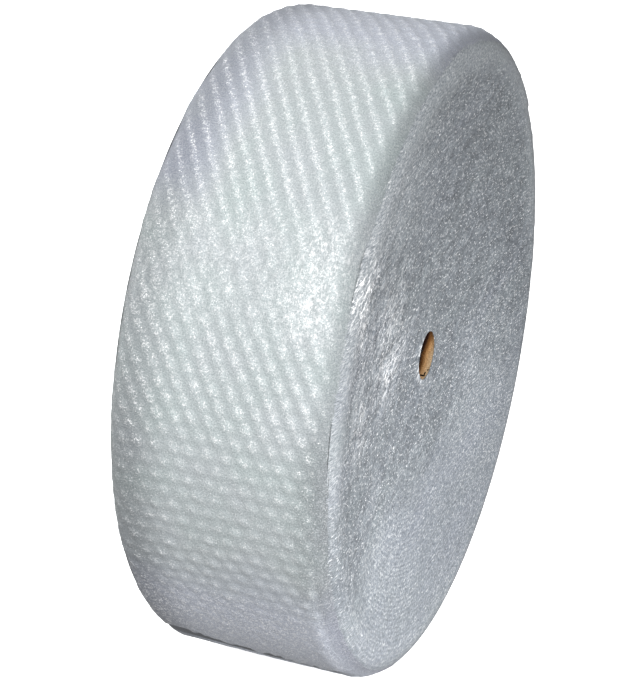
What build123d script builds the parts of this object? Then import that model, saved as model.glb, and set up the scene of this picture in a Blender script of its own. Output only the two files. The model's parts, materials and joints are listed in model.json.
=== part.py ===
"""Roll of air-bubble cushioning film, wound on a spiral-wound cardboard core.

Frame: millimetres, +Z up, the roll's axis along X, its dished end towards +X. The roll lies
on its curved side, on the flat spot that its own weight presses into the soft turns. The
origin is on the floor, straight below the axis, midway between the roll's two ends.

The film's turns are one solid. Its outside is a spiral that grows by one turn's thickness
all the way round and ends in a step, where the last turn stops. The turns have drifted
along the axis while winding, so one end of the roll is dished and the other is domed.
"""

import math
import os

from build123d import *

# --- Sizes that drive the model ---
FILM_WIDTH = 305.0  # width of the film as slit, and so of every turn
ROLL_DIAMETER = 916.0  # across the roll, on average round the last turn
TURN_PITCH = 6.0  # radial thickness of one turn, with its bubbles pressed and nested
SHOULDER_WIDTH = 40.0  # along the axis, where cut bubbles at the film's edges have gone flat
SHOULDER_HEIGHT = 36.0  # the same rounding, measured in towards the axis
RIM_DEPTH = 50.0  # depth below the outside at which the ends begin to dish
DISH_DEPTH = 32.0  # how far the turns would have drifted along the axis at its very middle
FLAT_WIDTH = 220.0  # chord of the flat spot that the roll lies on
FILM_END_ANGLE = 35.0  # where the last turn stops, up from +Y towards +Z, in degrees

CORE_BORE = 76.2  # inside diameter of the cardboard tube
CORE_WALL = 5.0  # wall of the tube
CORE_LENGTH = 305.0  # length of the tube, cut with the film
PLY_THICKNESS = 1.1  # innermost paper ply, which has come loose at one end
PLY_GAP = 2.6  # widest opening behind the loose ply
PLY_GAP_SPAN = 30.0  # how far round the loose place reaches, in degrees
PLY_GAP_DEPTH = 6.0  # how far in from the end the ply is loose
PLY_GAP_ANGLE = 247.0  # middle of the loose place, up from +Y towards +Z, in degrees

# --- What follows from them ---
QUARTERS = 4  # the spiral is drawn as four quarter turns
QUARTER_STEP = TURN_PITCH / QUARTERS
BORE_RADIUS = CORE_BORE / 2
CORE_RADIUS = BORE_RADIUS + CORE_WALL
FIRST_RADIUS = ROLL_DIAMETER / 2 + QUARTER_STEP * (QUARTERS - 1) / 2  # at the film's end
QUARTER_ANGLE = 360.0 / QUARTERS


def direction(angle):
    """Unit (y, z) at an angle from +Y towards +Z, in degrees."""
    return math.cos(math.radians(angle)), math.sin(math.radians(angle))


def quarter_centres():
    """Centres (y, z) of the four arcs, each tangent to the next, about the roll's axis."""
    y0, z0 = direction(FILM_END_ANGLE)
    y1, z1 = direction(FILM_END_ANGLE + QUARTER_ANGLE)
    y, z = QUARTER_STEP * (y0 - y1) / 2, QUARTER_STEP * (z0 - z1) / 2
    centres = [(y, z)]
    for quarter in range(1, QUARTERS):
        dy, dz = direction(FILM_END_ANGLE + quarter * QUARTER_ANGLE)
        y, z = y + QUARTER_STEP * dy, z + QUARTER_STEP * dz
        centres.append((y, z))
    return centres


def quarter_radius(quarter):
    """Radius of one of the four arcs, counted inwards from the film's outer end."""
    return FIRST_RADIUS - quarter * QUARTER_STEP


def axis_height():
    """Height of the roll's axis above the flat spot, from the arc that the spot cuts."""
    quarter = int(((270.0 - FILM_END_ANGLE) % 360.0) // QUARTER_ANGLE)
    centre_z = quarter_centres()[quarter][1]
    return math.sqrt(quarter_radius(quarter) ** 2 - (FLAT_WIDTH / 2) ** 2) - centre_z


def core_drift():
    """How far the core has drifted: as far as the dish is deep where it meets the core."""
    rim = ROLL_DIAMETER / 2 - RIM_DEPTH
    ball = (rim**2 + DISH_DEPTH**2) / (2 * DISH_DEPTH)  # radius of the dish's surface
    return DISH_DEPTH - ball + math.sqrt(ball**2 - CORE_RADIUS**2)


AXIS_HEIGHT = axis_height()
FILM_MIDDLE = core_drift() / 2  # middle of the outer turns' width, along X
CORE_MIDDLE = FILM_MIDDLE - core_drift()  # the core has drifted with the innermost turns


def turns_profile(radius):
    """Half section of flat-ended turns, x along the axis and y outwards, up to one radius."""
    half = FILM_WIDTH / 2
    top = half - SHOULDER_WIDTH
    shoulder = radius - SHOULDER_HEIGHT
    inner = CORE_RADIUS / 2  # inside the hole that is cut for the core afterwards
    outline = [
        Line((-half, inner), (half, inner)),
        Line((half, inner), (half, shoulder)),
        TangentArc((top, radius), (half, shoulder), tangent=(1, 0)),
        Line((top, radius), (-top, radius)),
        TangentArc((-top, radius), (-half, shoulder), tangent=(-1, 0)),
        Line((-half, shoulder), (-half, inner)),
    ]
    return make_face(outline)


def end_cap(end):
    """The lens between a flat end at x = end and the dished or domed surface behind it."""
    rim = ROLL_DIAMETER / 2 - RIM_DEPTH
    surface = ThreePointArc((end, rim), (end - DISH_DEPTH, 0), (end, -rim))
    lens = make_face([surface, Line((end, -rim), (end, rim))])
    half_lens = lens & Pos(end, rim) * Rectangle(4 * DISH_DEPTH, 2 * rim)
    return Pos(0, 0, AXIS_HEIGHT) * revolve(half_lens, Axis.X, 360)


def bubble_wrap():
    """All the turns of film: four quarter turns with their drift, core hole and flat spot."""
    body = None
    for quarter, (y, z) in enumerate(quarter_centres()):
        sector = revolve(turns_profile(quarter_radius(quarter)), Axis.X, QUARTER_ANGLE)
        sector = Rot(FILM_END_ANGLE + quarter * QUARTER_ANGLE, 0, 0) * sector
        sector = Pos(FILM_MIDDLE, y, z + AXIS_HEIGHT) * sector
        body = sector if body is None else body + sector

    dished_end = FILM_MIDDLE + FILM_WIDTH / 2
    domed_end = FILM_MIDDLE - FILM_WIDTH / 2
    reach = FILM_WIDTH + 2 * DISH_DEPTH  # well past both ends
    hole = along_axis(CORE_RADIUS, 2 * reach, 0.0)
    below = Pos(0, 0, -ROLL_DIAMETER / 2) * Box(2 * reach, 2 * ROLL_DIAMETER, ROLL_DIAMETER)
    return body - end_cap(dished_end) + end_cap(domed_end) - hole - below


def along_axis(radius, length, middle):
    """A cylinder on the roll's axis."""
    return Pos(middle, 0, AXIS_HEIGHT) * Rot(0, 90, 0) * Cylinder(radius, length)


def ply_gap():
    """The crescent opening behind the innermost ply, at the tube's dished end."""
    ply_back = BORE_RADIUS + PLY_THICKNESS
    ends = [PLY_GAP_ANGLE - PLY_GAP_SPAN / 2, PLY_GAP_ANGLE + PLY_GAP_SPAN / 2]
    start, end = [tuple(ply_back * part for part in direction(angle)) for angle in ends]
    middle = direction(PLY_GAP_ANGLE)
    near = tuple(ply_back * part for part in middle)
    far = tuple((ply_back + PLY_GAP) * part for part in middle)
    crescent = make_face([ThreePointArc(start, near, end), ThreePointArc(end, far, start)])
    end_plane = Plane(
        origin=(CORE_MIDDLE + CORE_LENGTH / 2 - PLY_GAP_DEPTH, 0, AXIS_HEIGHT),
        x_dir=(0, 1, 0),
        z_dir=(1, 0, 0),
    )
    return extrude(end_plane * crescent, 2 * PLY_GAP_DEPTH)


def core_tube():
    """The cardboard tube, with its loose ply."""
    tube = along_axis(CORE_RADIUS, CORE_LENGTH, CORE_MIDDLE)
    bore = along_axis(BORE_RADIUS, 2 * CORE_LENGTH, CORE_MIDDLE)
    return tube - bore - ply_gap()


PARTS = {"bubble_wrap": bubble_wrap, "core_tube": core_tube}

os.makedirs("parts", exist_ok=True)
for name, make in PARTS.items():
    export_step(make(), f"parts/{name}.step")
print("axis height above the flat spot", round(AXIS_HEIGHT, 3))
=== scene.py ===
"""A large roll of clear bubble film on a cardboard core, lying on its small flat spot.

The sections follow the roll from the inside out: the core, the outer turn of film, and the
two ends, where the cut edges of all the turns show. The studio and the camera come last.
Lengths are in metres.
"""

import json
import math
from types import SimpleNamespace

import bpy
import numpy as np
from mathutils import Matrix, Vector


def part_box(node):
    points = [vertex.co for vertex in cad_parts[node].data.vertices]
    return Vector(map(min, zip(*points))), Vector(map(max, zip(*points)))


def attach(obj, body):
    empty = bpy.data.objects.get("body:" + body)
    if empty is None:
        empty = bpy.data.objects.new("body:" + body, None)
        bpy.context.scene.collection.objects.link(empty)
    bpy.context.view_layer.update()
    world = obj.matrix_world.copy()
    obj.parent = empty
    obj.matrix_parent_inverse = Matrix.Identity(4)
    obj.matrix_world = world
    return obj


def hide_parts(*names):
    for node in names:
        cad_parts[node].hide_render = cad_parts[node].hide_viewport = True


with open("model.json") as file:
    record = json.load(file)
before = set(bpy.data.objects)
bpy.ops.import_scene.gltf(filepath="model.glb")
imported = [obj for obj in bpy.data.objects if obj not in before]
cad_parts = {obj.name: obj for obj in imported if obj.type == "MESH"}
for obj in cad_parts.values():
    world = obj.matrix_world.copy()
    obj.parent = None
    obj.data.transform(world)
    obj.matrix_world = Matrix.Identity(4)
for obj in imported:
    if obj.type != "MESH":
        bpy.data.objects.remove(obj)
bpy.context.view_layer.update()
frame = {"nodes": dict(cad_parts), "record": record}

# ---------------------------------------------------------------------------------------
# The core tube. A spiral-wound kraft paper tube, cut square with the film and held by
# nothing but the turns of film wound tight on it. Its innermost ply has come a little loose
# and torn at the dished end. Its shape is the frame's own; this section gives it its board.

BORE = frame["record"]["mounts"][0]
AXIS = Vector(BORE["pos_m"])  # the middle of the core, on the roll's axis
CORE_BORE_RADIUS = BORE["dims"]["r_mm"] / 1000
CORE_HALF_LENGTH = BORE["dims"]["length_mm"] / 2000
CORE_RADIUS = (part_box("core_tube")[1].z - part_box("core_tube")[0].z) / 2
CORE_WALL = CORE_RADIUS - CORE_BORE_RADIUS

PAPER_PLY_WIDTH = 0.095  # width of the paper strip that winds round to make the tube
PAPER_FIBRE = 0.0012  # length of the fibre flecks
FIBRE_RELIEF = 0.0003
BORE_SHADE = 0.025  # how far the painted daylight reaches into the bore before painted shade
ROOF_SHADE = 0.018  # how much sooner the painted shade darkens the roof of the bore
END_SKIN = 0.0002  # what lies this far behind the tube's end is down in the loose ply's gap, painted dark as shade
GAP_BAND = 0.3  # share of the wall, each side of its middle, where that gap gets painted shade
TEAR_SHADES = (  # painted shade of tears in the loose ply: angle and half its width, then depth and half its length
    (-1.39, 0.045, 0.0082, 0.0036),
    (-1.28, 0.10, 0.0064, 0.0010),
    (-1.08, 0.030, 0.0042, 0.0010),
)


def linear(code, alpha=1.0):
    """A colour written as sRGB hex, as the linear values that shaders take."""
    parts = [int(code[i : i + 2], 16) / 255 for i in (0, 2, 4)]
    return [p / 12.92 if p <= 0.04045 else ((p + 0.055) / 1.055) ** 2.4 for p in parts] + [alpha]


def add(tree, kind, inputs=None, stops=(), **settings):
    """Adds a node with its settings and any (position, sRGB hex) stops of its ramp, and links
    or sets its inputs."""
    node = tree.nodes.new(kind)
    for name, value in settings.items():
        setattr(node, name, value)
    for socket, value in (inputs or {}).items():
        if isinstance(value, bpy.types.NodeSocket):
            tree.links.new(value, node.inputs[socket])
        else:
            node.inputs[socket].default_value = value
    if stops:
        elements = node.color_ramp.elements
        while len(elements) < len(stops):
            elements.new(0.5)
        for element, (position, code) in zip(elements, stops):
            element.position = position
            element.color = linear(code)
    return node


def new_material(name):
    """An empty node material: the material, its tree and its shader."""
    material = bpy.data.materials.new(name)
    material.use_nodes = True
    tree = material.node_tree
    return material, tree, tree.nodes["Principled BSDF"]


def kraft_board():
    """Unbleached kraft board, matt and warm, with fibre flecks and the spiral joints of its plies.
    Its light and shade are painted on: pale at the mouth where light gets in, dark brown deep
    in the bore, and near black as painted shade in the loose ply's gap and its tears."""
    material, tree, shader = new_material("kraft_board_spiral_wound")
    place = add(tree, "ShaderNodeTexCoord").outputs["Object"]
    centred = add(tree, "ShaderNodeMapping", {"Vector": place, "Location": -AXIS})
    xyz = add(tree, "ShaderNodeSeparateXYZ", {"Vector": centred.outputs["Vector"]}).outputs

    # the dark joint between one winding of the paper strip and the next
    angle = add(tree, "ShaderNodeMath", {0: xyz["Z"], 1: xyz["Y"]}, operation="ARCTAN2")
    turns = add(tree, "ShaderNodeMath", {0: angle.outputs[0], 1: math.tau}, operation="DIVIDE")
    along = add(tree, "ShaderNodeMath", {0: xyz["X"], 1: PAPER_PLY_WIDTH}, operation="DIVIDE")
    helix = add(tree, "ShaderNodeMath", {0: turns.outputs[0], 1: along.outputs[0]})
    phase = add(tree, "ShaderNodeMath", {0: helix.outputs[0]}, operation="FRACT")
    joint = add(
        tree,
        "ShaderNodeValToRGB",
        {"Fac": phase.outputs[0]},
        stops=[(0.0, "5A4028"), (0.02, "FFFFFF")],
    )

    # painted shade: the board darkens inwards from the mouth as daylight fades, and sooner on the
    # roof
    from_middle = add(tree, "ShaderNodeMath", {0: xyz["X"]}, operation="ABSOLUTE")
    roof = add(
        tree,
        "ShaderNodeMapRange",
        {
            "Value": xyz["Z"],
            "From Min": -CORE_BORE_RADIUS / 2,
            "From Max": CORE_BORE_RADIUS,
            "To Max": -ROOF_SHADE,
        },
    )
    reach = add(tree, "ShaderNodeMath", {0: from_middle.outputs[0], 1: roof.outputs[0]})
    daylight = add(
        tree,
        "ShaderNodeMapRange",
        {
            "Value": reach.outputs[0],
            "From Min": CORE_HALF_LENGTH - BORE_SHADE,
            "From Max": CORE_HALF_LENGTH,
        },
    )
    shade = add(
        tree,
        "ShaderNodeValToRGB",
        {"Fac": daylight.outputs[0]},
        stops=[(0.18, "281712"), (0.38, "94683C"), (0.54, "F0C08A"), (0.9, "FCE2BC")],
    )
    fibres = add(
        tree, "ShaderNodeTexNoise", {"Vector": place, "Scale": 1 / PAPER_FIBRE, "Detail": 3.0}
    )
    mottle = add(
        tree,
        "ShaderNodeValToRGB",
        {"Fac": fibres.outputs["Fac"]},
        stops=[(0.3, "C9BBA8"), (0.7, "FFFFFF")],
    )

    # painted shade in the gap behind the loose ply, and in the tears in it
    flat_yz = add(tree, "ShaderNodeCombineXYZ", {"Y": xyz["Y"], "Z": xyz["Z"]})
    out = add(tree, "ShaderNodeVectorMath", {0: flat_yz.outputs[0]}, operation="LENGTH")
    wall_middle = CORE_BORE_RADIUS + CORE_WALL / 2
    in_wall = {0: out.outputs["Value"], 1: wall_middle, 2: GAP_BAND * CORE_WALL}
    in_wall = add(tree, "ShaderNodeMath", in_wall, operation="COMPARE")
    behind = {0: from_middle.outputs[0], 1: CORE_HALF_LENGTH - END_SKIN}
    behind = add(tree, "ShaderNodeMath", behind, operation="LESS_THAN")
    gap_shade = {0: in_wall.outputs[0], 1: behind.outputs[0]}
    gap_shade = add(tree, "ShaderNodeMath", gap_shade, operation="MULTIPLY")
    for middle, half_angle, deep, half_length in TEAR_SHADES:
        beside = {0: angle.outputs[0], 1: middle, 2: half_angle}
        round_bore = add(tree, "ShaderNodeMath", beside, operation="COMPARE")
        inwards = {0: xyz["X"], 1: CORE_HALF_LENGTH - deep, 2: half_length}
        along_bore = add(tree, "ShaderNodeMath", inwards, operation="COMPARE")
        tear_shade = {0: round_bore.outputs[0], 1: along_bore.outputs[0], 2: gap_shade.outputs[0]}
        gap_shade = add(tree, "ShaderNodeMath", tear_shade, operation="MULTIPLY_ADD", use_clamp=True)

    colour = add(
        tree,
        "ShaderNodeMix",
        {"Factor": gap_shade.outputs[0], "A": shade.outputs["Color"], "B": linear("120A06")},
        data_type="RGBA",
    )
    for layer in (joint, mottle):
        colour = add(
            tree,
            "ShaderNodeMix",
            {"Factor": 1.0, "A": colour.outputs["Result"], "B": layer.outputs["Color"]},
            data_type="RGBA",
            blend_type="MULTIPLY",
        )
    bump = add(
        tree,
        "ShaderNodeBump",
        {"Height": fibres.outputs["Fac"], "Strength": 0.3, "Distance": FIBRE_RELIEF},
    )
    tree.links.new(colour.outputs["Result"], shader.inputs["Base Color"])
    tree.links.new(bump.outputs["Normal"], shader.inputs["Normal"])
    shader.inputs["Roughness"].default_value = 0.85
    return material


core_tube = frame["nodes"]["core_tube"]
core_tube.data.materials.clear()
core_tube.data.materials.append(kraft_board())

# ---------------------------------------------------------------------------------------
# The outer turn of film. Two webs of polyethylene welded together with air bubbles between
# them, slit to width and wound with the flat web outwards, so that the outside shows a
# shallow pillow over each bubble. It is held by its own cling and ends in a straight cut.

FILM_WIDTH = 0.305
BUBBLE_PITCH = 0.0238  # between bubbles of one row, across the film
ROW_PITCH = BUBBLE_PITCH * math.sqrt(3) / 2  # between rows, along the film
LAND = 0.0036  # welded film between two bubbles
PILLOW_RINGS = (0.0016, 0.0030, 0.0030)  # rings of faces from a bubble's rim to its middle
PILLOW_HEIGHT = 0.0015  # how far the flat web bulges over a bubble
FILM_THICKNESS = 0.0048  # of the whole sheet at its cut end
WALL_STEPS = (0.3, 0.7)  # how that thickness is divided between two rings of faces
CUT_END = 0.00001  # the sheet's cut end lies at 0 along it
SAME_POINT = 0.0001  # vertices of two bubbles' hexagons that are nearer than this are one
TURN_PITCH = 0.006
FILM_END_ANGLE = math.radians(35.0)
LAP = 0.04  # how far the film runs on under its own end
SHOULDER_WIDTH = 0.040
SHOULDER_HEIGHT = 0.036
SLIT_EDGE = 0.034  # band along each slit edge where the cut bubbles have gone flat

roll_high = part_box("bubble_wrap")[1]
SHOULDER_RADIUS = (SHOULDER_WIDTH**2 + SHOULDER_HEIGHT**2) / (2 * SHOULDER_HEIGHT)
END_RADIUS = roll_high.z - AXIS.z + TURN_PITCH * (0.25 - FILM_END_ANGLE / math.tau)
TURN_LENGTH = math.tau * (END_RADIUS - TURN_PITCH / 2)
DISHED_END = roll_high.x
FILM_MIDDLE = DISHED_END - FILM_WIDTH / 2


def deselect_all():
    """The frame's own nodes and each new piece stay selected, so every step starts here."""
    bpy.ops.object.select_all(action="DESELECT")


def choose(mesh_object):
    """Makes one object the only one selected, and the active one."""
    deselect_all()
    mesh_object.select_set(True)
    bpy.context.view_layer.objects.active = mesh_object


def bubble_cell():
    """One bubble's hexagon of flat web, cut into rings that its pillow is raised from."""
    deselect_all()
    bpy.ops.mesh.primitive_circle_add(
        vertices=6, radius=BUBBLE_PITCH / math.sqrt(3), fill_type="NGON"
    )
    cell = bpy.context.object
    bpy.ops.object.mode_set(mode="EDIT")
    bpy.ops.mesh.select_mode(type="FACE")
    bpy.ops.mesh.select_all(action="SELECT")
    bpy.ops.mesh.subdivide(number_cuts=1, ngon=True)
    bpy.ops.mesh.select_all(action="SELECT")
    bpy.ops.mesh.inset(thickness=LAND / 2)
    bpy.ops.transform.tosphere(value=1.0)
    for ring in PILLOW_RINGS:
        bpy.ops.mesh.inset(thickness=ring)
    bpy.ops.mesh.poke()
    bpy.ops.object.mode_set(mode="OBJECT")
    return cell


def flat_sheet(length):
    """The turn as it lies flat, x across the film and y along it from its cut end, and the
    middle of the first bubble of its grid."""
    cell = bubble_cell()
    choose(cell)
    bpy.ops.object.duplicate()
    bpy.ops.transform.translate(value=(BUBBLE_PITCH / 2, ROW_PITCH, 0))
    cell.select_set(True)
    bpy.context.view_layer.objects.active = cell
    bpy.ops.object.join()
    sheet = bpy.context.object
    columns = math.ceil(FILM_WIDTH / BUBBLE_PITCH) + 2
    row_pairs = math.ceil(length / (2 * ROW_PITCH)) + 1
    for count, offset in ((columns, (BUBBLE_PITCH, 0, 0)), (row_pairs, (0, 2 * ROW_PITCH, 0))):
        array = sheet.modifiers.new("repeat", "ARRAY")
        array.count = count
        array.use_relative_offset = False
        array.use_constant_offset = True
        array.constant_offset_displace = offset
        array.use_merge_vertices = True
        array.merge_threshold = SAME_POINT
    choose(sheet)
    for modifier in list(sheet.modifiers):
        bpy.ops.object.modifier_apply(modifier=modifier.name)
    corner = Vector((-(columns - 0.5) * BUBBLE_PITCH / 2, -ROW_PITCH, 0))
    sheet.data.transform(Matrix.Translation(corner))

    bpy.ops.object.mode_set(mode="EDIT")
    half = FILM_WIDTH / 2
    for place, normal in (
        ((-half, 0, 0), (-1, 0, 0)),
        ((half, 0, 0), (1, 0, 0)),
        ((0, 0, 0), (0, -1, 0)),
        ((0, length, 0), (0, 1, 0)),
    ):
        bpy.ops.mesh.select_all(action="SELECT")
        bpy.ops.mesh.bisect(plane_co=place, plane_no=normal, clear_outer=True)

    bpy.ops.mesh.select_mode(type="EDGE")
    bpy.ops.mesh.select_all(action="DESELECT")
    bpy.ops.object.mode_set(mode="OBJECT")
    corners = sheet.data.vertices
    for side in sheet.data.edges:
        side.select = all(corners[end].co.y < CUT_END for end in side.vertices)
    bpy.ops.object.mode_set(mode="EDIT")
    for share in WALL_STEPS:
        bpy.ops.mesh.extrude_edges_move(
            TRANSFORM_OT_translate={"value": (0, 0, -share * FILM_THICKNESS)}
        )
    bpy.ops.mesh.select_mode(type="FACE")
    bpy.ops.object.mode_set(mode="OBJECT")
    return sheet, corner


def vertex_array(mesh_object):
    """A mesh's vertices, one row of x, y, z each."""
    points = np.empty(len(mesh_object.data.vertices) * 3)
    mesh_object.data.vertices.foreach_get("co", points)
    return points.reshape(-1, 3)


def set_vertices(mesh_object, points):
    """Moves a mesh's vertices to those rows."""
    mesh_object.data.vertices.foreach_set("co", np.asarray(points, float).ravel())
    mesh_object.data.update()


def smooth_step(value):
    """From 0 to 1 with soft ends, as the value goes from 0 to 1."""
    value = np.clip(value, 0, 1)
    return value * value * (3 - 2 * value)


def between(value, low, high, soft):
    """1 inside a range and 0 outside it, with soft ends."""
    return smooth_step((value - low) / soft + 0.5) * smooth_step((high - value) / soft + 0.5)


RIPPLE_TABLE = 256  # random values each way before a ripple repeats


def ripple(u, v, pitch, seed):
    """Smooth random relief from -1 to 1 over a surface, one random value each pitch."""
    rng = np.random.default_rng(seed)
    values = rng.uniform(-1, 1, (RIPPLE_TABLE, RIPPLE_TABLE))
    i = np.floor(u / pitch).astype(int)
    j = np.floor(v / pitch).astype(int)
    s = smooth_step(u / pitch - i)
    t = smooth_step(v / pitch - j)
    i = i % (RIPPLE_TABLE - 1)
    j = j % (RIPPLE_TABLE - 1)
    low = values[i, j] * (1 - s) + values[i + 1, j] * s
    high = values[i, j + 1] * (1 - s) + values[i + 1, j + 1] * s
    return low * (1 - t) + high * t


BUCKLE_FAR, BUCKLE_NEAR = 133.0, 145.0  # where the sides slump in, degrees down from the top
BUCKLE_SOFT = 0.0006  # how softly the film turns there
FLAT_HALF_WIDTH = 0.110
FLAT_SOFT = 0.0008
FLOOR_GAP = 0.0002


def buckle_angle(x):
    """How far round from the top the slump begins, in degrees, at a place along the roll."""
    return BUCKLE_FAR + (BUCKLE_NEAR - BUCKLE_FAR) * ((x - FILM_MIDDLE) / FILM_WIDTH + 0.5)


def settle(points):
    """Lets the roll sag: its lower sides buckle in towards the flat spot, and what would lie
    below the floor is pressed up into the flat."""
    x, y, z = points.T
    angle = np.radians(buckle_angle(x))
    high_y = END_RADIUS * np.sin(angle)
    high_z = AXIS.z + END_RADIUS * np.cos(angle)
    run_y = FLAT_HALF_WIDTH - high_y
    run_z = -high_z
    length = np.hypot(run_y, run_z)
    out_y = -run_z / length
    out_z = run_y / length
    outside = (np.abs(y) - high_y) * out_y + (z - high_z) * out_z
    push = BUCKLE_SOFT * np.logaddexp(0, outside / BUCKLE_SOFT)
    points[:, 1] = np.sign(y) * (np.abs(y) - out_y * push)
    z = z - out_z * push
    points[:, 2] = FLOOR_GAP + FLAT_SOFT * np.logaddexp(0, z / FLAT_SOFT)
    return points


def wind(flat):
    """Flat sheet coordinates (across, along, up) wound on the roll, shoulders and all."""
    across, along, up = flat.T
    turn = along / TURN_LENGTH
    angle = FILM_END_ANGLE + math.tau * turn
    radius = END_RADIUS - PILLOW_HEIGHT - TURN_PITCH * turn
    level = FILM_WIDTH / 2 - SHOULDER_WIDTH
    over = np.maximum(np.abs(across) - level, 0) / SHOULDER_RADIUS
    x = np.where(
        over > 0, np.sign(across) * (level + (SHOULDER_RADIUS + up) * np.sin(over)), across
    )
    r = radius - SHOULDER_RADIUS * (1 - np.cos(over)) + up * np.cos(over)
    y = AXIS.y + r * np.cos(angle)
    z = AXIS.z + r * np.sin(angle)
    return settle(np.column_stack([FILM_MIDDLE + x, y, z]))


ZONES = {  # from, to and softness, in turns from the film's cut end: the top is at 0.15
    "folded": (0.06, 0.375, 0.06),  # slanting tension folds join the bubbles, their crests painted light
    "lined": (0.03, 0.285, 0.05),  # where they are narrow, stand alone and are painted as thin highlights
    "crown": (0.09, 0.19, 0.04),  # where they are softest
    "bluish": (0.18, 0.27, 0.04),
    "streaky": (0.272, 0.322, 0.03),  # the web is pulled into fine lengthwise streaks, with a painted glare on them
    "in_rows": (0.375, 0.462, 0.04),  # the bubbles show as rows
    "sparkly": (0.385, 0.455, 0.03),
    "dull_and_shade": (0.36, 0.46, 0.04),
    "pressed": (0.462, 0.72, 0.05),  # the weight of the roll has pressed the film smooth
}
BUBBLE_TABLE = (400, 40)  # more rows and columns of bubbles than the sheet has
FIRMNESS = (0.35, 1.1)  # of the bubbles, from slack to tight
BUBBLE_SLIP = 0.0013  # how far a bubble strays from its place in the grid
BLOB, DOME = 0.30, 0.32  # size of a bubble's pale middle and of its pillow, in pitches
BLOB_SPREAD, DOME_SPREAD, LINE_SPREAD = 0.5, 0.65, 0.3  # how much each follows the firmness
FOLD_WANDER, FOLD_WANDER_PITCH = 0.0016, 0.045  # the folds stray from a straight line
FOLD_WAVE = 0.0010  # and weave from bubble to bubble
STREAKS = ((6, 0.026, 0.6), (4, 0.009, 0.4))  # how narrow, how long and how strong
GLARE_ACROSS, GLARE_SIZE = 0.102, 0.030  # the painted glare on the streaks is whitest near the dished end
DULL_SHADE_FAR = 0.105  # band at the far slit edge where the film looks duller and is painted darker as shade
DULL_SHADE_NEAR_WIDER = 0.022  # how much wider the near edge's band of painted shade is in its zone
DULL_SHADE_UPPER, SIDE_FROM, SIDE_SOFT = 0.70, 0.33, 0.06  # weaker above this place on the turn
FAR_RIM, FAR_RIM_CLEAR = 0.05, 0.75  # the far edge's rim itself is clearer again
WHOLE_EDGE = 0.98  # the very edge, which is frayed


def lie_of(sheet, corner, seed):
    """What each point of the flat sheet is: its place, its bubble and its zones."""
    web = SimpleNamespace(seed=seed)
    web.across, web.along, web.wall = vertex_array(sheet).T
    across, along = web.across, web.along
    rng = np.random.default_rng(seed)
    row = np.round((along - corner.y) / ROW_PITCH).astype(int)
    column = np.round((across - corner.x) / BUBBLE_PITCH - (row % 2) / 2).astype(int)
    web.firmness = rng.uniform(*FIRMNESS, BUBBLE_TABLE)[row, column]
    slip_x = rng.normal(0, BUBBLE_SLIP, BUBBLE_TABLE)[row, column]
    slip_y = rng.normal(0, BUBBLE_SLIP, BUBBLE_TABLE)[row, column]
    dx = across - corner.x - (column + (row % 2) / 2) * BUBBLE_PITCH - slip_x
    dy = along - corner.y - row * ROW_PITCH - slip_y
    web.from_bubble = np.hypot(dx, dy) / BUBBLE_PITCH

    web.to_edge = FILM_WIDTH / 2 - np.abs(across)
    web.edge = 1 - smooth_step(web.to_edge / SLIT_EDGE)
    web.where = along / TURN_LENGTH
    web.zone = {name: between(web.where, *span) for name, span in ZONES.items()}

    slant = (across - corner.x) * math.sqrt(3) / 2 - (along - corner.y) / 2
    slant = slant + FOLD_WANDER * ripple(across, along, FOLD_WANDER_PITCH, seed + 3)
    slant = slant + FOLD_WAVE * np.sin(along / ROW_PITCH * math.tau) * web.zone["lined"]
    web.fold = 0.5 + 0.5 * np.cos(slant / ROW_PITCH * math.tau)
    web.rows = 0.5 + 0.5 * np.cos((along - corner.y) / ROW_PITCH * math.tau)
    web.streak = 0.5
    for index, (narrow, pitch, strength) in enumerate(STREAKS):
        web.streak = web.streak + strength * ripple(across * narrow, along, pitch, seed + 8 + index)
    middle = (across - GLARE_ACROSS) / GLARE_SIZE
    web.glare = np.exp(-(middle**2)) * web.zone["streaky"] * (1 - web.edge)
    return web


SLUMP_AHEAD = 0.002  # how far above the buckle the painted shadow of the slumped film ends, in turns
SLUMP_DEPTH, SLUMP_WIDENS = 0.011, 0.009  # how high it is at the far end, and how much it grows
SLUMP_RAGS = ((0.0050, 0.030), (0.0040, 0.007))  # height and pitch of its ragged upper line
SLUMP_FADES = (0.10, 0.045, 0.8)  # near the dished end: from, over and how far it fades
SLUMP_SOFT = 0.005
FILM_END_BELOW = 90.0 - math.degrees(FILM_END_ANGLE)  # from the cut end up to the top, degrees


def slump_of(web):
    """1 in the painted shadow of the fold along the buckle, where the film has slumped under the
    roll.
    """
    ragged_line = 0
    for index, (height, pitch) in enumerate(SLUMP_RAGS):
        rag = ripple(web.across, 0 * web.across, pitch, web.seed + 6 + index)
        ragged_line = ragged_line + height * rag
    buckle = (buckle_angle(web.across + FILM_MIDDLE) + FILM_END_BELOW) / 360 - SLUMP_AHEAD
    depth = SLUMP_DEPTH + SLUMP_WIDENS * (web.across / FILM_WIDTH + 0.5)
    slump = between(web.where, buckle - depth + ragged_line, buckle, SLUMP_SOFT)
    fade_from, fade_over, fade = SLUMP_FADES
    return slump * (1 - fade * smooth_step((web.across - fade_from) / fade_over))


LAND_TONE = 0.12  # tone of the film between bubbles, where 0 is the painted shade of a crevice
CREST_TONE = 0.74  # and of the brightest bubbles, where 1 is a painted white glare
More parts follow.
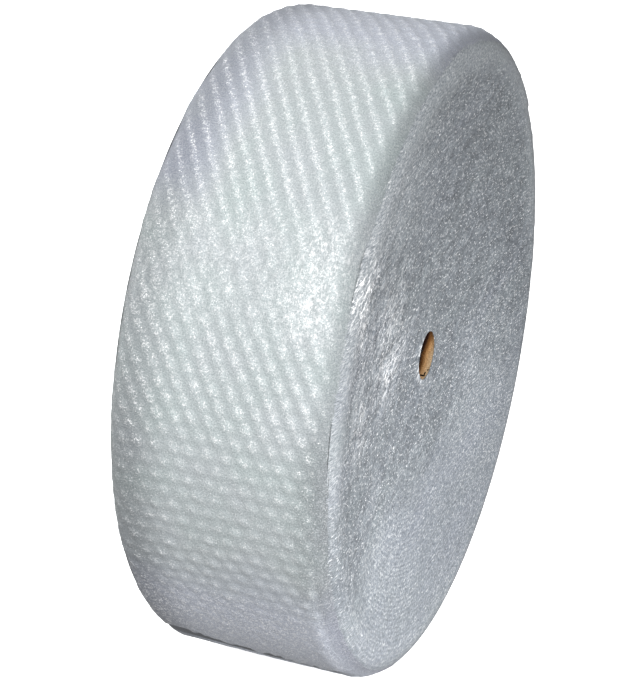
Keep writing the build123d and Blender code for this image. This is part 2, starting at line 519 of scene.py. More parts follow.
# The rest are shares of the way from the one to the other.
BLOB_IN_FOLDS, BLOB_IN_ROWS = 0.55, 0.35  # how much fainter a bubble's middle is there
FOLD_TONE, FOLD_BASE = 0.66, 0.05  # a fold's crest as a painted highlight, and all round it
FOLD_EVEN, FOLD_BLOB = 0.75, 0.45  # the crest is brighter where it crosses a bubble
ROW_TONE, ROW_DULL = 0.4, 0.34  # a row of bubbles, and how much duller its zone is
LINE_BASE, LINE_BLOB, LINE_TONE = 0.23, 0.08, 0.84  # between the narrow folds, and the painted highlight on them
LINE_EVEN = 0.8  # the least of a narrow fold, whatever the bubble's firmness
CROWN_LINE, CROWN_TONE = 0.30, 0.18  # at the very top they fade into a paler ground
STREAK_HIDES, STREAK_TONE = 0.45, 0.5  # the streaks hide the bubbles under their painted sheen
PRESSED_HIDES, PRESSED_TONE, PRESSED_EDGE = 0.85, 0.80, 0.7  # so does pressing, least at edges
FAR_EDGE_TONE = 0.45
# And these are tones again.
# the painted glare of the light on the streaks
GLARE_TONE = 0.22
SIDES_TONE, SIDES_FROM, SIDES_OVER = 0.10, 0.05, 0.08  # over the top, darker to both sides
FOOT_TONE, FOOT_BAND = 0.20, (0.008, 0.042, 0.012)  # darker in a band along the near foot


def web_tone(web):
    """How pale the web looks: on bubbles, on folds with painted highlights, in the painted glare,
    over the pressed part, and in the painted shade of the slump.
    """
    zone, edge, fold = web.zone, web.edge, web.fold
    blob = np.exp(-((web.from_bubble / BLOB) ** 2))
    blob = blob * (1 - BLOB_SPREAD + BLOB_SPREAD * web.firmness)
    tone = blob * (1 - BLOB_IN_FOLDS * zone["folded"] - BLOB_IN_ROWS * zone["in_rows"])
    tone = tone + FOLD_TONE * zone["folded"] * fold * (FOLD_EVEN + FOLD_BLOB * blob)
    tone = tone + ROW_TONE * zone["in_rows"] * web.rows + FOLD_BASE * zone["folded"]
    tone = tone * (1 - ROW_DULL * zone["in_rows"])

    line = fold**3 * (LINE_EVEN + LINE_SPREAD * web.firmness)
    line_tone = LINE_BASE + LINE_BLOB * blob + (LINE_TONE - CROWN_LINE * zone["crown"]) * line
    line_tone = line_tone + CROWN_TONE * zone["crown"]
    tone = tone * (1 - zone["lined"]) + line_tone * zone["lined"]
    tone = tone * (1 - STREAK_HIDES * zone["streaky"])
    tone = tone + STREAK_TONE * zone["streaky"] * web.streak
    tone = tone * (1 - PRESSED_HIDES * zone["pressed"]) * (1 - edge)
    tone = tone + PRESSED_TONE * zone["pressed"] * (1 - PRESSED_EDGE * edge)
    tone = tone + FAR_EDGE_TONE * edge * (web.across < 0)

    tone = LAND_TONE + (CREST_TONE - LAND_TONE) * tone
    # painted glare on the streaks
    tone = tone + GLARE_TONE * web.glare * web.streak
    aside = smooth_step((np.abs(web.across) - SIDES_FROM) / SIDES_OVER)
    tone = tone - SIDES_TONE * zone["lined"] * aside
    to_near_edge = np.where(web.across > 0, web.to_edge, 1)
    tone = tone - FOOT_TONE * zone["pressed"] * between(to_near_edge, *FOOT_BAND)
    # the slump is painted dark as its shadow
    return np.clip(np.maximum(tone, LAND_TONE), 0, 1) * (1 - web.slump)


def web_dullness_and_shade(web):
    """How much the bands along both slit edges look darker: duller as their cut bubbles are flat,
    and darker still with painted shade.
    """
    near_band = SLIT_EDGE + DULL_SHADE_NEAR_WIDER * web.zone["dull_and_shade"]
    dull_and_shade = 1 - smooth_step(web.to_edge / np.where(web.across < 0, DULL_SHADE_FAR, near_band))
    lower = smooth_step((web.where - SIDE_FROM) / SIDE_SOFT)
    rim = 1 - smooth_step(web.to_edge / FAR_RIM)
    dull_and_shade = dull_and_shade * (DULL_SHADE_UPPER + (1 - DULL_SHADE_UPPER) * lower)
    return dull_and_shade * (1 - FAR_RIM_CLEAR * rim * (web.across < 0))


COOL_ABOVE, COOL_BELOW, COOL_SOFT = 0.20, 0.42, 0.06  # the light is bluer past these places
COOL_FAR, COOL_FAR_FROM, COOL_FAR_OVER = 0.8, -0.03, 0.07


def web_coolness(web):
    """How far the film's tint goes from a greenish to a bluish white."""
    cool = smooth_step((COOL_ABOVE - web.where) / COOL_SOFT)
    cool = cool + smooth_step((web.where - COOL_BELOW) / COOL_SOFT)
    far = smooth_step((COOL_FAR_FROM - web.across) / COOL_FAR_OVER)
    return cool + COOL_FAR * web.zone["bluish"] * far


GLARE_GLEAM, STREAK_GLEAM = 0.62, 0.16  # how much painted gleam of the wrinkles shows there
SPARKS, SPARKS_MORE, SPARKS_EDGE = 0.12, 0.3, 0.7  # painted sparkle dots: everywhere, in their zone, less at edges

FOLD_HEIGHT = 0.0008
STREAK_HEIGHT = 0.0005
PUCKER = 0.0005  # uneven pull of the web
PUCKER_PITCH, FINE_PUCKER_PITCH, FINE_PUCKER = 0.011, 0.005, 0.6
CREASE, CREASE_PITCH, CREASE_NARROW = 0.0012, 0.07, 8  # lengthwise, in the flat slit edges
SLUMP_HOLLOW = 0.002
FRAY, FRAY_PITCH = 0.0009, 0.006
PRESSED_FLAT, FOLDED_FLAT, LINED_FLAT, STREAKY_FLAT = 0.75, 0.4, 0.25, 0.6  # lower pillows
PRESSED_PUCKER = 0.5


def web_relief(web):
    """How far each point of the web stands off the roll."""
    across, along, zone = web.across, web.along, web.zone
    dome = np.exp(-((web.from_bubble / DOME) ** 2))
    dome = dome * (1 - DOME_SPREAD + DOME_SPREAD * web.firmness)
    lumps = ripple(across, along, PUCKER_PITCH, web.seed + 1)
    lumps = lumps + FINE_PUCKER * ripple(across, along, FINE_PUCKER_PITCH, web.seed + 2)
    creases = ripple(across * CREASE_NARROW, along, CREASE_PITCH, web.seed + 4) * web.edge
    rise = PILLOW_HEIGHT * dome * (1 - PRESSED_FLAT * zone["pressed"])
    rise = rise * (1 - FOLDED_FLAT * zone["folded"] - LINED_FLAT * zone["lined"])
    rise = (rise + FOLD_HEIGHT * (web.fold - 1) * zone["folded"]) * (1 - web.edge)
    rise = rise * (1 - STREAKY_FLAT * zone["streaky"])
    rise = rise + STREAK_HEIGHT * zone["streaky"] * web.streak
    rise = rise + PUCKER * lumps * (1 - PRESSED_PUCKER * zone["pressed"])
    return web.wall + rise + CREASE * creases - SLUMP_HOLLOW * web.slump


def give_finish(piece, u, v, **values):
    """Lays the film's own coordinates on a piece, and what its material needs at each vertex."""
    mesh = piece.data
    layer = mesh.uv_layers.new(name="sheet")
    loops = np.empty(len(mesh.loops), int)
    mesh.loops.foreach_get("vertex_index", loops)
    layer.data.foreach_set("uv", np.column_stack([u, v])[loops].ravel())
    for attribute, each in values.items():
        data = mesh.attributes.new(attribute, "FLOAT", "POINT").data
        data.foreach_set("value", each.astype(np.float32))


def film_turn(name, length, seed):
    """One turn of the sheet on the roll, with what its material needs as attributes."""
    sheet, corner = flat_sheet(length)
    sheet.name = name
    web = lie_of(sheet, corner, seed)
    web.slump = slump_of(web)
    fray = FRAY * ripple(web.along, web.across * 0, FRAY_PITCH, seed + 5)
    across = web.across + fray * (web.edge > WHOLE_EDGE)
    set_vertices(sheet, wind(np.column_stack([across, web.along, web_relief(web)])))
    sparks = SPARKS + SPARKS_MORE * web.zone["sparkly"]
    give_finish(
        sheet,
        web.across,
        web.along,
        tone=web_tone(web),
        edge=web_dullness_and_shade(web),
        cool=web_coolness(web),
        # painted highlights: the glare's gleam and the sparkle dots
        gleam=np.clip(GLARE_GLEAM * web.glare + STREAK_GLEAM * web.zone["streaky"], 0, 1),
        spark=sparks * (1 - SPARKS_EDGE * web.edge),
    )
    bpy.ops.object.mode_set(mode="EDIT")
    bpy.ops.mesh.select_all(action="SELECT")
    bpy.ops.mesh.normals_make_consistent(inside=False)
    bpy.ops.object.mode_set(mode="OBJECT")
    choose(sheet)
    bpy.ops.object.shade_smooth()
    return sheet


STROKE_WIDTH, STROKE_LENGTH = 0.0034, 0.011  # of the taut wrinkles where a painted gleam shows
GLINT = 0.0037  # spacing of the crinkles' painted glints, drawn coarse enough to show
SPARK = 0.0022  # size of the brightest painted highlight dots, drawn as coarse as they need to show
SPECK = 0.0019  # size of the finest unevenness
CLOUD = 0.09  # size of the drifts from a greenish to a bluish white
CLOUD_SHARE, HUE_SPAN = 0.9, 1.6  # their share, and the whole span that the tints cover
RIDGE_WIDTH = 0.05  # of a crinkle's painted bright crest, as a share of its height
PATCH_SCALE = 0.7  # the crests break up at this share of their spacing
RIM_GLINTS = 0.22  # painted glints left in the dull bands of painted shade


def clear_film(name, land, crest, rim, spacing, relief, shiny, grain):
    """Clear low-density polyethylene, chill-cast: many layers of it turn milky grey. Every crinkle
    of the top one gets a thin white glint painted into the colour as a painted highlight, and so
    do bright dots and gleaming strokes."""
    material, tree, shader = new_material(name)
    uv = add(tree, "ShaderNodeUVMap", uv_map="sheet").outputs["UV"]
    tone = add(tree, "ShaderNodeAttribute", attribute_name="tone").outputs["Fac"]
    edge = add(tree, "ShaderNodeAttribute", attribute_name="edge").outputs["Fac"]
    cool = add(tree, "ShaderNodeAttribute", attribute_name="cool").outputs["Fac"]
    gleam = add(tree, "ShaderNodeAttribute", attribute_name="gleam").outputs["Fac"]
    spark = add(tree, "ShaderNodeAttribute", attribute_name="spark").outputs["Fac"]

    # the milky body colour, duller along the slit edges and darkened there with painted shade
    tint = add(
        tree,
        "ShaderNodeValToRGB",
        {"Fac": tone},
        stops=[(0.0, "5C6166"), (LAND_TONE, land), (CREST_TONE, crest), (1.0, "FFFFFF")],
    )
    tint = add(
        tree,
        "ShaderNodeMix",
        {"Factor": edge, "A": tint.outputs["Color"], "B": linear(rim)},
        data_type="RGBA",
    )
    cloud = add(tree, "ShaderNodeTexNoise", {"Vector": uv, "Scale": 1 / CLOUD, "Detail": 3.0})
    hue = {0: cloud.outputs["Fac"], 1: CLOUD_SHARE, 2: cool}
    hue = add(tree, "ShaderNodeMath", hue, operation="MULTIPLY_ADD")
    hue = add(tree, "ShaderNodeMapRange", {"Value": hue.outputs[0], "From Max": HUE_SPAN})
    drift = add(
        tree,
        "ShaderNodeValToRGB",
        {"Fac": hue.outputs[0]},
        stops=[(0.15, "EDF4F1"), (0.34, "F2F4F4"), (0.8, "EEEEF9")],
    )
    speck = add(tree, "ShaderNodeTexNoise", {"Vector": uv, "Scale": 1 / SPECK, "Detail": 1.0})
    speck = add(
        tree,
        "ShaderNodeValToRGB",
        {"Fac": speck.outputs["Fac"]},
        stops=[(0.32, grain), (0.68, "FFFFFF")],
    )
    milky = tint
    for layer in (drift, speck):
        milky = add(
            tree,
            "ShaderNodeMix",
            {"Factor": 1.0, "A": milky.outputs["Result"], "B": layer.outputs["Color"]},
            data_type="RGBA",
            blend_type="MULTIPLY",
        )

    # painted highlights: thin broken white crests, where the film is shiny enough
    crinkle = add(
        tree,
        "ShaderNodeTexNoise",
        {"Vector": uv, "Scale": 1 / spacing, "Detail": 2.0, "Distortion": 0.8},
    )
    away = add(tree, "ShaderNodeMath", {0: crinkle.outputs["Fac"], 1: 0.5}, operation="SUBTRACT")
    away = add(tree, "ShaderNodeMath", {0: away.outputs[0]}, operation="ABSOLUTE")
    ridge = {"Value": away.outputs[0], "From Max": RIDGE_WIDTH, "To Min": 1.0, "To Max": 0.0}
    ridge = add(tree, "ShaderNodeMapRange", ridge)
    patches = {"Vector": uv, "Scale": PATCH_SCALE / spacing, "Detail": 1.0}
    patches = add(tree, "ShaderNodeTexNoise", patches).outputs["Fac"]
    broken = {"Value": patches, "From Min": 0.46, "From Max": 0.56}
    broken = add(tree, "ShaderNodeMapRange", broken)
    cluster = {"Value": tone, "From Min": shiny[0], "From Max": shiny[1], "To Min": 0.1}
    cluster = add(tree, "ShaderNodeMapRange", cluster)
    dull_shade_glints = add(tree, "ShaderNodeMath", {0: edge, 1: RIM_GLINTS}, operation="MULTIPLY")
    cluster = {0: cluster.outputs[0], 1: dull_shade_glints.outputs[0]}
    cluster = add(tree, "ShaderNodeMath", cluster, operation="MAXIMUM").outputs[0]
    glint = {0: ridge.outputs[0], 1: broken.outputs[0]}
    glint = add(tree, "ShaderNodeMath", glint, operation="MULTIPLY")
    glint = add(tree, "ShaderNodeMath", {0: glint.outputs[0], 1: cluster}, operation="MULTIPLY")

    # painted highlights: bright dots
    dots = add(tree, "ShaderNodeTexNoise", {"Vector": uv, "Scale": 1 / SPARK, "Detail": 0.0})
    dots = {"Value": dots.outputs["Fac"], "From Min": 0.69, "From Max": 0.75}
    dots = add(tree, "ShaderNodeMapRange", dots)
    bright = add(tree, "ShaderNodeMath", {0: cluster, 1: spark}, operation="MAXIMUM")
    dots = {0: dots.outputs[0], 1: bright.outputs[0]}
    dots = add(tree, "ShaderNodeMath", dots, operation="MULTIPLY")

    # painted highlights: taut wrinkles, torn into short strokes, where the film gleams
    strokes = {"Vector": uv, "Scale": (1 / STROKE_WIDTH, 1 / STROKE_LENGTH, 1)}
    strokes = add(tree, "ShaderNodeMapping", strokes).outputs["Vector"]
    strokes = {"Vector": strokes, "Scale": 1.0, "Detail": 2.0, "Distortion": 1.6}
    strokes = add(tree, "ShaderNodeTexNoise", strokes).outputs["Fac"]
    strokes = {"Value": strokes, "From Min": 0.50, "From Max": 0.62}
    strokes = add(tree, "ShaderNodeMapRange", strokes)
    torn = {"Value": patches, "From Min": 0.42, "From Max": 0.54, "To Min": 0.25}
    torn = add(tree, "ShaderNodeMapRange", torn)
    strokes = {0: strokes.outputs[0], 1: torn.outputs[0]}
    strokes = add(tree, "ShaderNodeMath", strokes, operation="MULTIPLY")
    shine = add(tree, "ShaderNodeMath", {0: strokes.outputs[0], 1: gleam}, operation="MULTIPLY")

    for light in (dots, shine):
        lit = {0: glint.outputs[0], 1: light.outputs[0]}
        glint = add(tree, "ShaderNodeMath", lit, operation="MAXIMUM")
    # the painted highlights are mixed to white in the base colour
    colour = add(
        tree,
        "ShaderNodeMix",
        {"Factor": glint.outputs[0], "A": milky.outputs["Result"], "B": linear("FFFFFF")},
        data_type="RGBA",
    )
    bump = add(
        tree,
        "ShaderNodeBump",
        {"Height": crinkle.outputs["Fac"], "Strength": 0.8, "Distance": relief},
    )
    tree.links.new(colour.outputs["Result"], shader.inputs["Base Color"])
    tree.links.new(bump.outputs["Normal"], shader.inputs["Normal"])
    shader.inputs["Roughness"].default_value = 0.34
    shader.inputs["IOR"].default_value = 1.51
    shader.inputs["Coat Weight"].default_value = 0.3
    shader.inputs["Coat Roughness"].default_value = 0.14
    return material


outer = film_turn("outer_turn", TURN_LENGTH + LAP, 7)
outer.data.materials.append(
    clear_film(
        "polyethylene_film_clear_glossy",
        land="C3C8CA",
        crest="DBE0E2",
        rim="7E8184",
        spacing=GLINT,
        relief=0.0012,
        shiny=(0.22, 0.60),
        grain="D3D5D7",
    )
)
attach(outer, "root")
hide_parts("bubble_wrap")

# ---------------------------------------------------------------------------------------
# The two ends of the roll. The slit edges of all the turns, seen end on: a spiral of cut
# bubbles, pressed together and ragged. The turns have drifted along the axis, so one end is
# dished and the other domed.

EDGE_DEPTH = 0.0009  # how deep the gaps between turns go
SEGMENTS = 488  # round the roll
RIM_DEPTH = 0.050
RIM_RADIUS = (roll_high.z - AXIS.z) - RIM_DEPTH
DRIFT = FILM_MIDDLE - AXIS.x
DISH_BALL = (RIM_RADIUS**2 - CORE_RADIUS**2) / (2 * DRIFT)
LANES = (0.0, 0.12, 0.62)  # of one turn: its flat web's outside, inside, and the bubbles'
LANE_HEIGHTS = np.array((1.0, 0.85, 0.0))
EDGE_LAP = 0.002  # how far the ends reach up behind the outer turn
MOUTH_RADIUS = CORE_BORE_RADIUS - 0.0038  # the innermost edges hang over the rim of the core
MERGE = 0.00002  # vertices that are nearer than this are one
UNDER_SHOULDER = SHOULDER_RADIUS * (1 - math.cos(SHOULDER_WIDTH / SHOULDER_RADIUS))
START_RADIUS = END_RADIUS - PILLOW_HEIGHT - UNDER_SHOULDER + EDGE_LAP  # of the spiral

CRUMPLE = 2.3  # the cut edges crumple into strokes this much longer than they are high
LEAN = 1.2  # and lean over by this much for each unit of height
JAG_PITCH, FINE_JAG_PITCH, FINE_JAG = 0.0075, 0.004, 0.7  # the torn crests of the edges
WAVE_PITCH, WAVE_TURN = 0.06, 0.004  # each turn stands out and back along its length
SWAY_PITCH, SWAY_TURN, SWAY = 0.021, 0.003, 0.0010  # and wanders in and out
ROUGH_PITCH = 0.0027
JAG_SWAY = 0.0005
EDGE_BASE, EDGE_LANE, EDGE_JAG, EDGE_WAVE, EDGE_ROUGH = 0.3, 0.45, 0.35, 0.15, 0.35
EDGE_LOW, EDGE_HIGH = -0.6, 1.6  # the most that these may add up to
UNDER = 0.018  # how far in from the outer turn the edges become ragged
NEAR_CORE = 0.012  # band round the core where they lie flat
CORE_PROUD = 0.0004  # a little proud of the core
TUCK = 0.0012  # the innermost edge tucks in to its mouth
LIP, LIP_PITCH = 0.0004, 0.007  # unevenness of that mouth
LOW_FROM, LOW_OVER = -0.10, 0.15  # below the core, where the weight presses the turns flat
LOW_CALM, LOW_FLAT = 0.6, 0.65  # how much calmer and flatter they are there


def end_offsets(radius, turn_radius):
    """How far the turns' edges stand back from the roll's end: by the drift of the turns,
    and by the rounding of the shoulder."""
    dish = np.sqrt(DISH_BALL**2 - np.minimum(radius, RIM_RADIUS) ** 2)
    dish -= math.sqrt(DISH_BALL**2 - RIM_RADIUS**2)
    below = np.clip(turn_radius - radius, 0, SHOULDER_HEIGHT)
    reach = np.sqrt(SHOULDER_RADIUS**2 - (SHOULDER_RADIUS - below) ** 2)
    return dish, np.maximum(SHOULDER_WIDTH - reach, 0)


def lie_of_edges(end, steps, seed):
    """What each point of a flat grid becomes as a point of the spiral of slit edges."""
    face = SimpleNamespace(seed=seed)
    flat = vertex_array(end)
    round_roll = flat[:, 0] + 0.5
    lane = np.round((flat[:, 1] + 0.5) * steps).astype(int)
    face.lap = lane // len(LANES)
    kind = lane % len(LANES)
    face.lane_height = LANE_HEIGHTS[kind]
    turn = face.lap + np.array(LANES)[kind] + round_roll
    face.angle = FILM_END_ANGLE + math.tau * round_roll
    count = face.lap + round_roll  # which turn of film, counted inwards
    radius = START_RADIUS - TURN_PITCH * turn
    face.along = (START_RADIUS - TURN_PITCH * count / 2) * count * math.tau
    y = radius * np.cos(face.angle)
    face.v = radius * np.sin(face.angle)
    face.u = (y - LEAN * face.v) / CRUMPLE

    face.jag = ripple(face.u, face.v, JAG_PITCH, seed)
    face.jag = face.jag + FINE_JAG * ripple(face.u, face.v, FINE_JAG_PITCH, seed + 1)
    wave = ripple(face.along, count * WAVE_TURN, WAVE_PITCH, seed + 2)
    sway = ripple(face.along, count * SWAY_TURN, SWAY_PITCH, seed + 3)
    rough = ripple(face.u, face.v, ROUGH_PITCH, seed + 4)
    height = EDGE_BASE + EDGE_LANE * face.lane_height + EDGE_JAG * face.jag
    height = height + EDGE_WAVE * wave + EDGE_ROUGH * rough
    face.height = np.clip(height, EDGE_LOW, EDGE_HIGH)

    face.turn_radius = END_RADIUS - PILLOW_HEIGHT - TURN_PITCH * round_roll
    under = smooth_step((START_RADIUS - TURN_PITCH * round_roll - radius) / UNDER)
    lip = ripple(face.angle * MOUTH_RADIUS, 0 * face.angle, LIP_PITCH, seed + 8)
    face.mouth = MOUTH_RADIUS + LIP * lip
    strayed = radius + (SWAY * sway + JAG_SWAY * face.jag) * under
    face.radius = np.maximum(strayed, face.mouth)
    near_core = smooth_step((CORE_RADIUS + NEAR_CORE - face.radius) / NEAR_CORE)
    face.low = smooth_step((LOW_FROM - face.radius * np.sin(face.angle)) / LOW_OVER)
    sunk = (EDGE_HIGH - face.height) * EDGE_DEPTH * under
    sunk = sunk * (1 - near_core) * (1 - LOW_FLAT * face.low)
    face.sunk = sunk - CORE_PROUD * near_core + TUCK * (radius < face.mouth - TURN_PITCH / 2)
    return face


# Tones of the slit edges, on the same scale as the outer turn's.
EDGE_TONE, LOW_TONE = 0.26, 0.095  # everywhere, and the painted light added below the core
SHINE_TONE, CREST_TONE_MORE, STROKE_TONE = 0.03, 0.12, 0.05  # large, fine and long unevenness
# how much the painted highlights raise the tone
GLEAM_TONE, GLEAM_JAG = 0.12, 0.2
LOW_LANES, LANE_MIDDLE = 0.09, 0.6  # the turns show as fine lines below the core
SHINE_PITCH, FINE_SHINE_PITCH, FINE_SHINE = 0.055, 0.019, 0.6
PALE_PATCHES = (  # across and up from the core, how far it reaches each way, and its strength
    (0.21, -0.15, 0.12, 0.12, 0.13),
    (-0.21, -0.17, 0.10, 0.09, 0.09),
    (-0.17, 0.33, 0.14, 0.08, 0.16),
)
GLEAM_HIGHLIGHTS = (  # painted highlights where the edges catch the light, written like the patches
    (-0.335, 0.245, 0.055, 0.075, 1.1),
    (-0.17, 0.10, 0.065, 0.065, 0.95),
    (-0.315, 0.055, 0.040, 0.040, 0.7),
    (-0.22, 0.15, 0.120, 0.130, 0.3),
)
GLEAM_MOST, GLEAM_BASE, GLEAM_SPREAD = 1.1, 0.50, 0.70
SHINY_BASE, SHINY_SPREAD = 0.45, 0.6  # how much of the surface is shiny enough to gleam
CREST_MIDDLE, CREST_JAG = 0.5, 0.4
HALO = 0.008  # painted highlights on the torn film round the mouth of the core
HALO_TONE, HALO_GLEAM, HALO_PITCH = 0.7, 1.4, 0.004
HALO_BASE, HALO_SIDE = 0.1, 0.9  # it is strongest on the front of the mouth
TORN_BASE, TORN_SPREAD = 0.4, 1.2  # and broken up
RIM_FROM, RIM_OVER = 0.02, 0.06  # the rim looks like the outer turn's slit edge
RIM_LOWER, RIM_LOWER_FROM, RIM_LOWER_OVER = 0.75, 0.08, 0.16  # but less so below the core
EDGE_SPARKS, LOW_SPARKS, RIM_SPARKS = 0.6, 0.52, 0.6
EDGE_COOL, LOW_COOL = 0.14, 0.10


def spots(y, z, places):
    """The sum of soft round spots."""
    total = 0 * y
    for to_y, to_z, reach_y, reach_z, strength in places:
        off_y = (y - to_y) / reach_y
        off_z = (z - to_z) / reach_z
        total = total + strength * np.exp(-(off_y**2) - off_z**2)
    return total


def edges_finish(face, y, z, outward):
    """What the slit edges' material needs at each vertex: only the dished end gets painted
    highlights.
    """
    shine = ripple(y, z + AXIS.z, SHINE_PITCH, face.seed + 5)
    shine = shine + FINE_SHINE * ripple(y, z + AXIS.z, FINE_SHINE_PITCH, face.seed + 6)
    crest = face.height - CREST_MIDDLE + CREST_JAG * face.jag
    gleam = np.minimum(spots(y, z, GLEAM_HIGHLIGHTS if outward > 0 else ()), GLEAM_MOST)
    gleam = gleam * (GLEAM_BASE + GLEAM_SPREAD * smooth_step(SHINY_BASE + SHINY_SPREAD * shine))
    round_mouth = face.angle * MOUTH_RADIUS
    torn = ripple(round_mouth, 0 * round_mouth, HALO_PITCH, face.seed + 9)
    halo = np.exp(-(((face.radius - face.mouth) / HALO) ** 2))
    halo = halo * np.clip(TORN_BASE + TORN_SPREAD * torn, 0, 1)
    halo = halo * np.clip(HALO_BASE - HALO_SIDE * np.cos(face.angle), 0, 1)
    stroke = ripple(face.along, face.lap * STROKE_LENGTH, STROKE_LENGTH, face.seed + 7)

    uneven = SHINE_TONE * shine + CREST_TONE_MORE * crest + STROKE_TONE * stroke
    tone = EDGE_TONE + (1 - LOW_CALM * face.low) * uneven + LOW_TONE * face.low
    tone = tone + gleam * (GLEAM_TONE + GLEAM_JAG * face.jag) + spots(y, z, PALE_PATCHES)
    tone = tone + LOW_LANES * face.low * (face.lane_height - LANE_MIDDLE) + HALO_TONE * halo
    edge = 1 - smooth_step((face.turn_radius - face.radius - RIM_FROM) / RIM_OVER)
    edge = edge * (1 - RIM_LOWER * smooth_step((RIM_LOWER_FROM - z) / RIM_LOWER_OVER))
    return {
        "tone": np.clip(tone, 0, 1),
        "edge": edge,
        "cool": EDGE_COOL + LOW_COOL * face.low,
        "gleam": np.clip(np.maximum(gleam, HALO_GLEAM * halo), 0, 1),
        "spark": (EDGE_SPARKS - LOW_SPARKS * face.low) * (1 - RIM_SPARKS * edge),
    }


def slit_edges(name, end_x, outward, seed):
    """The edges of all the turns at one end, as one spiral that runs in to the core."""
    steps = len(LANES) * math.ceil((START_RADIUS - MOUTH_RADIUS) / TURN_PITCH)
    deselect_all()
    bpy.ops.mesh.primitive_grid_add(x_subdivisions=SEGMENTS, y_subdivisions=steps, size=1)
    end = bpy.context.object
    end.name = name
    face = lie_of_edges(end, steps, seed)
    dish, shoulder = end_offsets(face.radius, face.turn_radius)
    x = end_x - dish - outward * (shoulder + face.sunk)
    y = AXIS.y + face.radius * np.cos(face.angle)
    z = AXIS.z + face.radius * np.sin(face.angle)
    points = settle(np.column_stack([x, y, z]))
    set_vertices(end, points)
    finish = edges_finish(face, points[:, 1], points[:, 2] - AXIS.z, outward)
    give_finish(end, face.u, face.v, **finish)

    bpy.ops.object.mode_set(mode="EDIT")
    bpy.ops.mesh.select_all(action="SELECT")
    bpy.ops.mesh.remove_doubles(threshold=MERGE)
    bpy.ops.mesh.normals_make_consistent(inside=False)
    bpy.ops.object.mode_set(mode="OBJECT")
    mesh = end.data
    if mesh.polygons[len(mesh.polygons) // 2].normal.x * outward < 0:
        mesh.flip_normals()
    bpy.ops.object.shade_smooth()
    return end


# its darker grey is partly the many layers seen end on, and partly painted shade deep between the
# turns
edge_film = clear_film(
    "polyethylene_film_slit_edges",
    land="686C71",
    crest="A8AEB4",
    rim="A0A4A8",
    spacing=0.75 * GLINT,
    relief=0.0005,
    shiny=(0.24, 0.72),
    grain="B4B7BA",
)
for name, end_x, outward, seed in (
    ("slit_edges_dished_end", DISHED_END, 1, 41),
    ("slit_edges_domed_end", DISHED_END - FILM_WIDTH, -1, 43),
):
    end = slit_edges(name, end_x, outward, seed)
    end.data.materials.append(edge_film)
    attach(end, "root")
    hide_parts("bubble_wrap")

# ---------------------------------------------------------------------------------------
# The studio. A pale floor that glows a little and so takes almost no shadow, an even white
# room, a large key light from the front above, soft fills from overhead and behind, and two
# small softboxes on the right.

FLOOR_GLOW = 0.7
FLOOR_SIZE = 60

deselect_all()
bpy.ops.mesh.primitive_plane_add(size=FLOOR_SIZE, location=(0, 0, 0))
floor = bpy.context.object
floor.name = "floor"
floor_material, _, floor_shader = new_material("pale_studio_floor")
floor_shader.inputs["Base Color"].default_value = linear("F6F7F7")
floor_shader.inputs["Roughness"].default_value = 0.9
floor_shader.inputs["Emission Color"].default_value = linear("FFFFFF")
floor_shader.inputs["Emission Strength"].default_value = FLOOR_GLOW
floor.data.materials.append(floor_material)
floor.visible_diffuse = False
floor.visible_glossy = False

ROOM_LEVEL = 0.50  # how bright the room is
ROOM_TILT = (0.10, 0, -0.17)  # a little brighter to the right and low down
ROOM_IN_GLOSS = 0.3  # how much of it the film's gloss mirrors

world = bpy.data.worlds.new("studio")
world.use_nodes = True
room = world.node_tree
direction = add(room, "ShaderNodeTexCoord").outputs["Generated"]
tilt = add(room, "ShaderNodeVectorMath", {0: direction, 1: ROOM_TILT}, operation="DOT_PRODUCT")
level = add(room, "ShaderNodeMath", {0: tilt.outputs["Value"], 1: ROOM_LEVEL})
glossy = add(room, "ShaderNodeLightPath").outputs["Is Glossy Ray"]
dim = {"Value": glossy, "To Min": 1.0, "To Max": ROOM_IN_GLOSS}
dim = add(room, "ShaderNodeMapRange", dim)
level = {0: level.outputs[0], 1: dim.outputs[0]}
level = add(room, "ShaderNodeMath", level, operation="MULTIPLY")
room.links.new(level.outputs[0], room.nodes["Background"].inputs["Strength"])
room.nodes["Background"].inputs["Color"].default_value = linear("FFFFFF")
bpy.context.scene.world = world

FAR_LIGHT_DISTANCE = 4


def place_light(light, place, target):
    """Puts a light in the scene, facing a point."""
    lamp = bpy.data.objects.new(light.name, light)
    bpy.context.scene.collection.objects.link(lamp)
    lamp.location = place
    lamp.rotation_euler = (Vector(target) - Vector(place)).to_track_quat("-Z", "Y").to_euler()
    return lamp


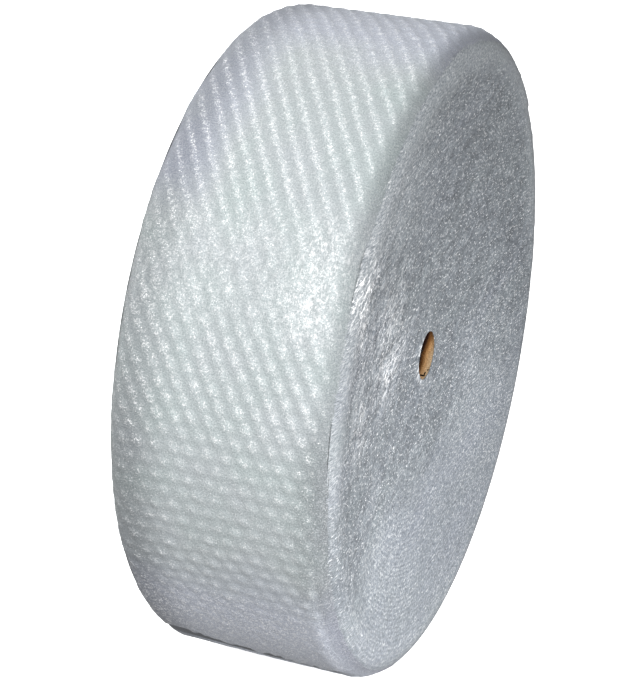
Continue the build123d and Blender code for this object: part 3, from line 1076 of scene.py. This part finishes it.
# direction from the roll, strength, spread in degrees, and whether the film's gloss shows it
for name, towards, strength, spread, in_gloss in (
    ("key_top_front", (0.05, -0.57, 0.82), 2.3, 35, False),
    ("fill_overhead", (0.25, 0.1, 0.96), 0.42, 60, True),
    ("fill_behind", (-0.74, 0.62, 0.22), 1.9, 50, False),
):
    light = bpy.data.lights.new(name, "SUN")
    light.energy = strength
    light.angle = math.radians(spread)
    lamp = place_light(light, AXIS + Vector(towards) * FAR_LIGHT_DISTANCE, AXIS)
    lamp.visible_glossy = in_gloss

# where it stands, what it faces, how wide it is, and its power
for name, place, target, size, watts in (
    ("low_right", (0.80, -0.30, 0.20), (0.1, 0, 0.28), 0.4, 11.0),
    ("front_right", (0.65, -1.25, 0.95), (0.1, -0.3, 0.6), 0.5, 4),
):
    light = bpy.data.lights.new(name, "AREA")
    light.size = size
    light.energy = watts
    lamp = place_light(light, place, target)
    lamp.visible_camera = False
    lamp.visible_glossy = False

# ---------------------------------------------------------------------------------------
# The camera. A long lens from the front right, above the roll.

CAMERA_AZIMUTH = math.radians(21.05)
CAMERA_ELEVATION = math.radians(28.29)
CAMERA_DISTANCE = 2.820
CAMERA_LENS = 104.9  # millimetres, on a 36 mm sensor
AIM_RIGHT, AIM_UP = -0.0373, -0.0023  # where it looks, beside the middle of the roll

camera_data = bpy.data.cameras.new("camera")
camera_data.lens = CAMERA_LENS
camera = bpy.data.objects.new("camera", camera_data)
bpy.context.scene.collection.objects.link(camera)
bpy.context.scene.camera = camera
back = Vector(
    (
        math.sin(CAMERA_AZIMUTH) * math.cos(CAMERA_ELEVATION),
        -math.cos(CAMERA_AZIMUTH) * math.cos(CAMERA_ELEVATION),
        math.sin(CAMERA_ELEVATION),
    )
)
right = Vector((math.cos(CAMERA_AZIMUTH), math.sin(CAMERA_AZIMUTH), 0))
up = back.cross(right)
middle = Vector((FILM_MIDDLE, AXIS.y, AXIS.z))
camera.location = middle + back * CAMERA_DISTANCE
aim = middle + right * AIM_RIGHT + up * AIM_UP
camera.rotation_euler = (aim - camera.location).to_track_quat("-Z", "Y").to_euler()

bpy.context.scene.view_settings.view_transform = "Standard"

bpy.context.view_layer.update()
